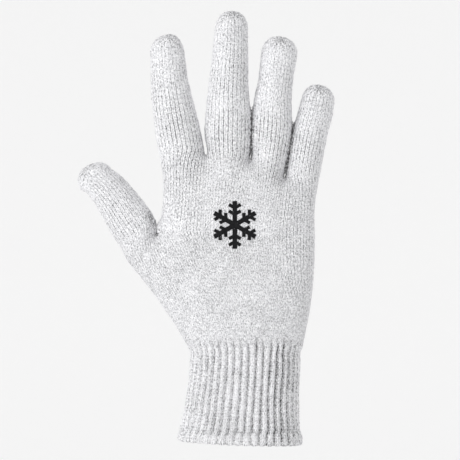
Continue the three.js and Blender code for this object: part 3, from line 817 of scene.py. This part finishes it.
class Wires:
    """Short hand for adding and joining the nodes of one tree."""

    def __init__(self, tree):
        self.tree = tree

    def node(self, kind, settings=None, **inputs):
        made = self.tree.nodes.new("ShaderNode" + kind)
        for key, value in (settings or {}).items():
            setattr(made, key, value)
        for key, value in inputs.items():
            self.put(made, key, value)
        return made

    def put(self, node, key, value):
        """Sets or joins one input: _0 is its number, Base_Color its name."""
        key = int(key[1:]) if key[0] == "_" else key.replace("_", " ")
        socket = node.inputs[key]
        if isinstance(value, bpy.types.NodeSocket):
            self.tree.links.new(value, socket)
        else:
            socket.default_value = value

    def give(self, **values):
        """Joins values to the group's outputs."""
        outputs = self.tree.nodes.new("NodeGroupOutput")
        for key, value in values.items():
            self.put(outputs, key, value)

    def math(self, operation, a, b=0.0, clamp=False):
        return self.node("Math", {"operation": operation, "use_clamp": clamp}, _0=a, _1=b).outputs[0]

    def plus(self, a, b, clamp=False):
        return self.math("ADD", a, b, clamp)

    def minus(self, a, b):
        return self.math("SUBTRACT", a, b)

    def times(self, a, b, clamp=False):
        return self.math("MULTIPLY", a, b, clamp)

    def vector(self, operation, a, **inputs):
        return self.node("VectorMath", {"operation": operation}, _0=a, **inputs).outputs[0]

    def noise(self, vector, scale, detail, rough=0.5):
        made = self.node("TexNoise", Vector=vector, Scale=scale, Detail=detail, Roughness=rough)
        return made.outputs["Fac"]

    def blend(self, amount, a, b):
        return self.node("Mix", {"data_type": "RGBA"}, _0=amount, _6=a, _7=b).outputs[2]

    def remap(self, value, from_low, from_high, to_low=0.0, to_high=1.0):
        return self.node("MapRange", Value=value, From_Min=from_low, From_Max=from_high, To_Min=to_low,
                         To_Max=to_high).outputs[0]

    def surface(self, color, rough, shine, **more):
        more.update(Base_Color=color, Roughness=rough, Specular_IOR_Level=shine)
        self.node("OutputMaterial", Surface=self.node("BsdfPrincipled", **more).outputs[0])

    def place(self):
        return self.node("TexCoord").outputs["Object"]

    def attribute(self, name):
        return self.node("Attribute", {"attribute_name": name}).outputs["Fac"]


def group(name, inputs, outputs):
    """A node group with inputs and outputs of given kinds, its wires, and its inputs' sockets."""
    tree = bpy.data.node_groups.new(name, "ShaderNodeTree")
    for side, sockets in (("INPUT", inputs), ("OUTPUT", outputs)):
        for label, kind in sockets.items():
            tree.interface.new_socket(label, in_out=side, socket_type="NodeSocket" + kind)
    return tree, Wires(tree), tree.nodes.new("NodeGroupInput").outputs


def stitch_group():
    """Relief and gaps of the stitches on the wale and course numbers of the knit map.

    Two legs slant from the wale's edges to its middle. Height is a cosine across a leg and one along the
    stitch. Gap is painted shade in the holes between stitches: dark at the wale's edge, deepest between two
    courses, and differs from stitch to stitch. Leg is high on the legs' crests, for a painted highlight.
    Strand runs along the legs, for fibres.
    """
    tree, w, given = group("stitch_relief", dict(Clear="Float", Wobble="Float"),
                           dict(Height="Float", Gap="Float", Leg="Float", Strand="Vector"))
    knit = w.node("UVMap", {"uv_map": "knit"}).outputs[0]
    sway = w.node("TexNoise", Vector=w.place(), Scale=430.0, Detail=2.0).outputs["Color"]
    sway = w.vector("SCALE", w.vector("SUBTRACT", sway, _1=(0.5, 0.5, 0.5)), Scale=given["Wobble"])
    moved = w.vector("ADD", knit, _1=sway)
    split = w.node("SeparateXYZ", Vector=moved).outputs
    across = w.math("ABSOLUTE", w.minus(w.math("FRACT", split[0]), 0.5))
    along = w.plus(split[1], w.times(across, 1.2))
    leg = w.math("COSINE", w.times(w.minus(across, 0.25), 2 * TURN))
    beat = w.math("COSINE", w.times(along, TURN))
    stitch = w.plus(w.times(leg, 0.5), w.times(beat, 0.25))
    cell = w.vector("FLOOR", moved)
    own = w.node("TexWhiteNoise", {"noise_dimensions": "2D"}, Vector=cell).outputs["Value"]
    # Painted shade in the holes between stitches
    edge = w.remap(across, 0.32, 0.46)
    dot = w.plus(w.times(w.math("COSINE", w.times(split[1], TURN)), 0.5), 0.5)
    hole_shade = w.times(edge, w.plus(w.times(dot, 0.7), 0.3))
    hole_shade = w.times(hole_shade, w.remap(own, 0.0, 1.0, 0.2, 1.6))
    groove = w.times(w.remap(across, 0.0, 0.13, 0.4, 0.0), w.minus(1.0, dot))
    gap = w.times(w.plus(hole_shade, groove), given["Clear"], clamp=True)
    strand = w.node("CombineXYZ", X=split[0], Y=along).outputs[0]
    w.give(Height=w.times(stitch, given["Clear"]), Gap=gap, Strand=strand,
           Leg=w.times(w.math("MAXIMUM", leg, 0.0), given["Clear"]))
    return tree


def melange_group():
    """Heathered yarn: pale fibres with dark and bright ones mixed in, and painted shade darkest in the gaps.

    Grain is the mean of a noise stretched along the strands and one with no direction: dark where it is low,
    bright where it is high. The legs' crests get a painted highlight. The painted shade, deepest where the
    height attribute sinks, breaks up into dark specks.
    """
    inputs = dict(Pale="Color", Dark="Color", Bright="Color", Fleck="Float", Gap="Float", Shade="Float",
                  Leg="Float", Strand="Vector")
    tree, w, given = group("melange_yarn", inputs, dict(Color="Color", Fuzz="Float"))
    place = w.place()
    strands = w.node("Mapping", Vector=given["Strand"], Scale=(4.2, 1.1, 1.0)).outputs[0]
    grain = w.times(w.plus(w.noise(strands, 1.0, 1.0), w.noise(place, 1500.0, 1.0)), 0.5)
    cloudy = w.plus(grain, w.remap(w.noise(place, 130.0, 3.0, 0.6), 0.3, 0.7, -0.025, 0.025))
    amount = w.times(w.remap(cloudy, 0.36, 0.5, 1.0, 0.0), given["Fleck"], clamp=True)
    tinted = w.blend(amount, given["Pale"], given["Dark"])
    # Bright fibres where the grain is high, plus a painted highlight on the legs' crests
    shine = w.plus(w.remap(cloudy, 0.5, 0.64), w.times(given["Leg"], 0.35), clamp=True)
    tinted = w.blend(shine, tinted, given["Bright"])
    # Painted shade from the height attribute, broken into specks, plus the gaps' painted shade
    recess_shade = w.remap(w.attribute("height"), -4.0, 0.0, 1.47, 0.0)
    shade = w.plus(w.times(recess_shade, w.remap(cloudy, 0.42, 0.56, 1.7, 0.1)), given["Gap"])
    shade = w.times(shade, given["Shade"], clamp=True)
    w.give(Color=w.blend(shade, tinted, given["Dark"]), Fuzz=grain)
    return tree


MELANGE = melange_group()
STITCH = stitch_group()


def fabric_shader(w, color, rough, **more):
    """Matte fibres with a low even sheen."""
    w.surface(color, rough, 0.15, Sheen_Weight=0.15, Sheen_Roughness=0.6, **more)


def empty_material(name):
    """A material with no nodes, and its wires."""
    material = bpy.data.materials.new(name)
    material.use_nodes = True
    material.node_tree.nodes.clear()
    return material, Wires(material.node_tree)


def knit_material(name, pale, dark, fleck, gap_shade):
    """Felted heather knit with a fine bump of stitches and fibres."""
    material, w = empty_material(name)
    stitch = w.node("Group", {"node_tree": STITCH}, Clear=w.attribute("clearness"), Wobble=0.5).outputs
    yarn = w.node("Group", {"node_tree": MELANGE}, Pale=pale, Dark=dark, Bright=(0.97, 0.97, 0.98, 1),
                  Fleck=fleck, Gap=stitch["Gap"], Shade=gap_shade, Leg=stitch["Leg"],
                  Strand=stitch["Strand"]).outputs
    relief = w.plus(stitch["Height"], w.times(yarn["Fuzz"], 3.0))
    bump = w.node("Bump", Strength=0.8, Distance=0.0003, Height=relief).outputs[0]
    fabric_shader(w, yarn["Color"], w.remap(yarn["Fuzz"], 0.3, 0.7, 0.86, 0.98), Normal=bump)
    return material


# The rib knit is the same yarn made paler, as painted light that offsets the darker shading of its ribs
plain_knit = knit_material("plain_knit", (0.78, 0.78, 0.802, 1), (0.09, 0.09, 0.094, 1), 0.62, 0.92)
rib_knit = knit_material("rib_knit", (0.9, 0.9, 0.92, 1), (0.06, 0.06, 0.064, 1), 0.62, 1.0)

# Knitted pieces
for name, tip in tips.items():
    faces = quads_of(name)
    faces.append(tip_faces(tubes[name], tip)[:, :3])
    faces.append(tip_faces(inner_ids(tubes[name]), total + tip)[:, :3][:, ::-1])
    faces.append(end_rim(name, 0, False))
    make_piece(f"{name}_stall_knit", name, f"{name}_stall", plain_knit, faces)

rims = [end_rim(name, 0, True) for name in FINGERS] + [end_rim("upper", 0, False)]
make_piece("upper_hand_knit", "upper", "upper_hand", plain_knit, quads_of("upper") + rims)
rims = [end_rim("thumb", 0, True), end_rim("upper", 0, True), end_rim("lower", 0, False)]
make_piece("lower_hand_knit", "lower", "lower_hand", plain_knit, quads_of("lower") + rims)

cuff_inner = inner_ids(cuff_ids, (PER_COURSE, 1))
lip_rows = np.concatenate([cuff_inner[:1], lip_ids[::-1], cuff_ids[:1]])
faces = [grid_faces(cuff_ids), grid_faces(cuff_inner)[:, ::-1], grid_faces(lip_rows)]
faces.append(rim(cuff_ids[-1], cuff_inner[-1], True))
make_piece("rib_cuff_knit", "cuff", "rib_cuff", rib_knit, faces)

# Loose fibres that stand off the knit
FIBRES = 10500
FIBRE_RADIUS = 0.045
FIBRE_TAPER = 0.7
FIBRE_ROOT = 0.1      # depth of a root below the surface
FIBRE_STATIONS = [0.0, 0.4, 0.75]


def loose_fibres(count):
    """Thin bent strands of three sides, spread evenly over the skin: centre = root + length (s out + s² bend)
    and a radius that shrinks along s."""
    rng = np.random.default_rng(SEEDS["fibre"])
    corner = outer[skin_faces]
    area = np.linalg.norm(np.cross(corner[:, 2] - corner[:, 0], corner[:, 3] - corner[:, 1]), axis=1)
    face = rng.choice(len(skin_faces), count, p=area / area.sum())
    a, b = rng.uniform(0, 1, (2, count, 1))
    c = corner[face]
    root = lerp(lerp(c[:, 0], c[:, 1], a), lerp(c[:, 3], c[:, 2], a), b)
    normal = outer_normals[skin_faces[face, 0]]
    loose = rng.normal(size=(count, 3))
    flat = unit(loose - np.sum(loose * normal, axis=1, keepdims=True) * normal)
    out = normal * rng.uniform(0.25, 1.0, (count, 1)) + flat * rng.uniform(0.3, 1.0, (count, 1))
    bend = np.cross(normal, flat) * rng.uniform(-0.7, 0.7, (count, 1))
    bend = bend - normal * rng.uniform(0.0, 0.5, (count, 1))
    length = rng.uniform(0.7, 2.2, (count, 1))
    side = unit(np.cross(out, normal + 0.01))
    other = unit(np.cross(out, side))
    root = root - FIBRE_ROOT * normal
    rings = []
    for s in FIBRE_STATIONS:
        centre = root + length * (s * out + s * s * bend)
        radius = FIBRE_RADIUS * (1 - FIBRE_TAPER * s)
        for turn in 2 * np.pi * np.arange(3) / 3:
            rings.append(centre + radius * (np.cos(turn) * side + np.sin(turn) * other))
    at = np.stack(rings + [root + length * (out + bend)], axis=1)
    tip = 3 * len(FIBRE_STATIONS)
    quads = []
    for k in range(0, tip - 3, 3):
        quads += [[k + j, k + (j + 1) % 3, k + 3 + (j + 1) % 3, k + 3 + j] for j in range(3)]
    tris = [[0, 2, 1]] + [[tip - 3 + j, tip - 3 + (j + 1) % 3, tip] for j in range(3)]
    first = (np.arange(count) * (tip + 1))[:, None, None]
    quads = (first + np.array(quads)[None]).reshape(-1, 4)
    tris = (first + np.array(tris)[None]).reshape(-1, 3)
    mesh = bpy.data.meshes.new("loose_fibres")
    mesh.from_pydata((at.reshape(-1, 3) * MM).tolist(), [], quads.tolist() + tris.tolist())
    material, w = empty_material("loose_fibre")
    tone = w.remap(w.noise(w.place(), 300.0, 1.0), 0.35, 0.65)
    fabric_shader(w, w.blend(tone, (0.55, 0.55, 0.56, 1), (0.9, 0.9, 0.92, 1)), 0.9)
    mesh.materials.append(material)
    piece = add_object("loose_fibres", mesh)
    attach(piece, "root")


loose_fibres(FIBRES)

# Printed mark
MARK_CENTRE = np.array([-3.0, 126.0])
MARK_REACH = 13.5
MARK_BAR = 2.6
MARK_BRANCH_WIDTH = 1.9
MARK_BRANCHES = [(5.6, 2.9), (9.2, 2.9)]
MARK_GRID = 6
MARK_BLUR = 0.45      # evens out the knit under the film
FILM_RISE = 0.42
FILM_EDGE = 0.16
FILM_SINK = 0.25


def mark_quads():
    """Flat quads of the snowflake, corners in order round each: a hexagon of six kites, arms that are cut
    where their branches leave them, and a quad for each branch."""
    half = MARK_BAR / 2
    sin, cos = np.sin(np.pi / 3), np.cos(np.pi / 3)
    corner = half / np.tan(np.pi / 6)
    stations = [corner]
    quads = []
    for start, length in MARK_BRANCHES:
        end = start + MARK_BRANCH_WIDTH / sin
        stations += [start, end]
        far = (start + length * cos, half + length * sin)
        away = (far[0] + MARK_BRANCH_WIDTH * sin, far[1] - MARK_BRANCH_WIDTH * cos)
        quads.append([(start, half), (end, half), away, far])
        quads.append([(start, -half), (far[0], -far[1]), (away[0], -away[1]), (end, -half)])
    stations.append(MARK_REACH)
    for a, b in zip(stations[:-1], stations[1:]):
        quads.append([(a, -half), (b, -half), (b, half), (a, half)])
    quads.append([(0, 0), (corner, -half), (corner, 0), (corner, half)])
    along, across = np.moveaxis(np.array(quads), -1, 0)
    turned = []
    for turn in np.pi / 3 * np.arange(6):
        turned.append(np.stack([-np.sin(turn) * along - np.cos(turn) * across,
                                np.cos(turn) * along - np.sin(turn) * across], axis=-1))
    return np.concatenate(turned)


def front_height(at):
    """y of the knit's front under places x, z: mean of near points, weighed by a Gaussian of distance."""
    upper = tubes["upper"][:, : sum(UPPER_COUNTS)]
    lower = tubes["lower"][:, : sum(LOWER_COUNTS)]
    near = outer[np.concatenate([upper.ravel(), lower.ravel()])]
    near = near[np.all(np.abs(near[:, [0, 2]] - MARK_CENTRE) < MARK_REACH + 3, axis=1)]
    near = near[near[:, 1] < 0]
    squared = ((at[:, None, :] - near[None, :, [0, 2]]) ** 2).sum(axis=2)
    weight = np.exp(-squared / (2 * MARK_BLUR ** 2))
    return (weight * near[None, :, 1]).sum(axis=1) / weight.sum(axis=1)


def printed_mark():
    """Thin closed film over the knit: each flat quad becomes a bilinear grid, laid on the front's height; its
    edge drops to a back face, and the rim of the front is a little rounded."""
    n = MARK_GRID + 1
    a, b, _ = np.indices((n, n, 1)) / MARK_GRID
    q = mark_quads()[:, None, None]
    near, far = lerp(q[:, :, :, 0], q[:, :, :, 1], a), lerp(q[:, :, :, 3], q[:, :, :, 2], a)
    flat = lerp(near, far, b).reshape(-1, 2)
    keys = np.round(flat * 1000).astype(np.int64)
    _, first, ids = np.unique(keys[:, 0] * 1000003 + keys[:, 1], return_index=True, return_inverse=True)
    flat = flat[first]
    grid = ids.reshape(-1, n, n)
    faces = [grid[:, :-1, :-1], grid[:, 1:, :-1], grid[:, 1:, 1:], grid[:, :-1, 1:]]
    faces = np.stack(faces, axis=-1).reshape(-1, 4)
    edges = np.stack([faces, np.roll(faces, -1, axis=1)], axis=-1).reshape(-1, 2)
    pairs = edges.min(axis=1) * 10 ** 7 + edges.max(axis=1)
    _, back, count = np.unique(pairs, return_inverse=True, return_counts=True)
    free = edges[count[back] == 1]
    on_rim = np.zeros(len(flat))
    on_rim[free.ravel()] = 1
    places = flat + MARK_CENTRE
    y = front_height(places)
    top = np.stack([places[:, 0], y - FILM_RISE + FILM_EDGE * on_rim, places[:, 1]], axis=1)
    bottom = np.stack([places[:, 0], y + FILM_SINK, places[:, 1]], axis=1)
    m = len(flat)
    walls = np.stack([free[:, 1], free[:, 0], free[:, 0] + m, free[:, 1] + m], axis=1)
    every = np.concatenate([faces, faces[:, ::-1] + m, walls])
    mesh = bpy.data.meshes.new("print_mark_film")
    mesh.from_pydata((np.concatenate([top, bottom]) * MM).tolist(), [], every.tolist())
    mesh.polygons.foreach_set("use_smooth", np.ones(len(every), bool))
    material, w = empty_material("print_film")
    grain = w.noise(w.place(), 700.0, 3.0, 0.6)
    color = w.blend(w.remap(grain, 0.35, 0.7), (0.004, 0.004, 0.005, 1), (0.014, 0.014, 0.015, 1))
    bump = w.node("Bump", Strength=0.5, Distance=0.0001, Height=grain).outputs[0]
    w.surface(color, w.remap(grain, 0.3, 0.7, 0.6, 0.85), 0.12, Normal=bump)
    mesh.materials.append(material)
    piece = add_object("print_mark_film", mesh)
    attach(piece, "root")
    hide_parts("print_mark")


printed_mark()

# Studio
CAMERA_AT = (-0.0057, -1.6, 0.1231)
FRAME_WIDTH = 0.2622
SENSOR = 36.0
AIM = (0.0, 0.0, 0.13)
LIGHTS = [
    # name, place, size and watts
    ("key_light", (-1.9, -1.4, 0.9), 1.3, 29.5),
    ("fill_light", (0.4, -2.2, 0.5), 1.6, 6.0),
    ("back_light", (1.3, 1.9, 0.9), 1.6, 16.0),
    ("top_light", (-0.2, -0.5, 2.3), 1.6, 8.0),
]
FLOOR_DROP = 1.6
FLOOR_REACH = 3.0
WALL_BEND = 1.5
WALL_TOP = 5.0

camera_data = bpy.data.cameras.new("camera")
camera_data.sensor_width = SENSOR
camera_data.lens = SENSOR * -CAMERA_AT[1] / FRAME_WIDTH
camera = add_object("camera", camera_data)
camera.location = CAMERA_AT
camera.rotation_euler = (np.pi / 2, 0.0, 0.0)
bpy.context.scene.camera = camera
bpy.context.scene.view_settings.view_transform = "Standard"

for name, place, size, watts in LIGHTS:
    data = bpy.data.lights.new(name, "AREA")
    data.size = size
    data.energy = watts
    light = add_object(name, data)
    light.location = place
    x, y, z = np.array(place) - np.array(AIM)
    light.rotation_euler = (np.arctan2(np.hypot(x, y), z), 0.0, np.arctan2(x, -y))

world = bpy.data.worlds.new("studio_air")
world.use_nodes = True
air = world.node_tree.nodes["Background"].inputs
air["Color"].default_value = (1.0, 1.0, 1.0, 1)
air["Strength"].default_value = 0.37
bpy.context.scene.world = world


def backdrop():
    """A wide shallow bowl: flat floor that curves up by a quarter arc into a round wall."""
    bend = np.append(np.linspace(0.1, np.pi / 2, 16), np.full(4, np.pi / 2))
    radius = np.append(np.linspace(0.02, FLOOR_REACH, 12), FLOOR_REACH + WALL_BEND * np.sin(bend))
    level = np.append(np.zeros(12), WALL_BEND * (1 - np.cos(bend)))
    level[-4:] = np.linspace(2.0, WALL_TOP, 4)
    turn = np.linspace(0, 2 * np.pi, 96, endpoint=False)
    radius, turn = np.meshgrid(radius, turn, indexing="ij")
    level = level[:, None] - FLOOR_DROP + 0 * turn
    at = np.stack([radius * np.cos(turn), radius * np.sin(turn), level], axis=-1)
    ids = np.arange(radius.size).reshape(radius.shape)
    faces = grid_faces(ids)[:, ::-1].tolist() + [ids[0].tolist()]
    mesh = bpy.data.meshes.new("backdrop")
    mesh.from_pydata(at.reshape(-1, 3).tolist(), [], faces)
    mesh.polygons.foreach_set("use_smooth", np.ones(len(faces), bool))
    material, w = empty_material("pale_floor")
    w.surface((0.45, 0.45, 0.45, 1), 0.9, 0.0, Emission_Color=(1.0, 1.0, 1.0, 1), Emission_Strength=0.53)
    mesh.materials.append(material)
    stage = add_object("backdrop", mesh)


backdrop()
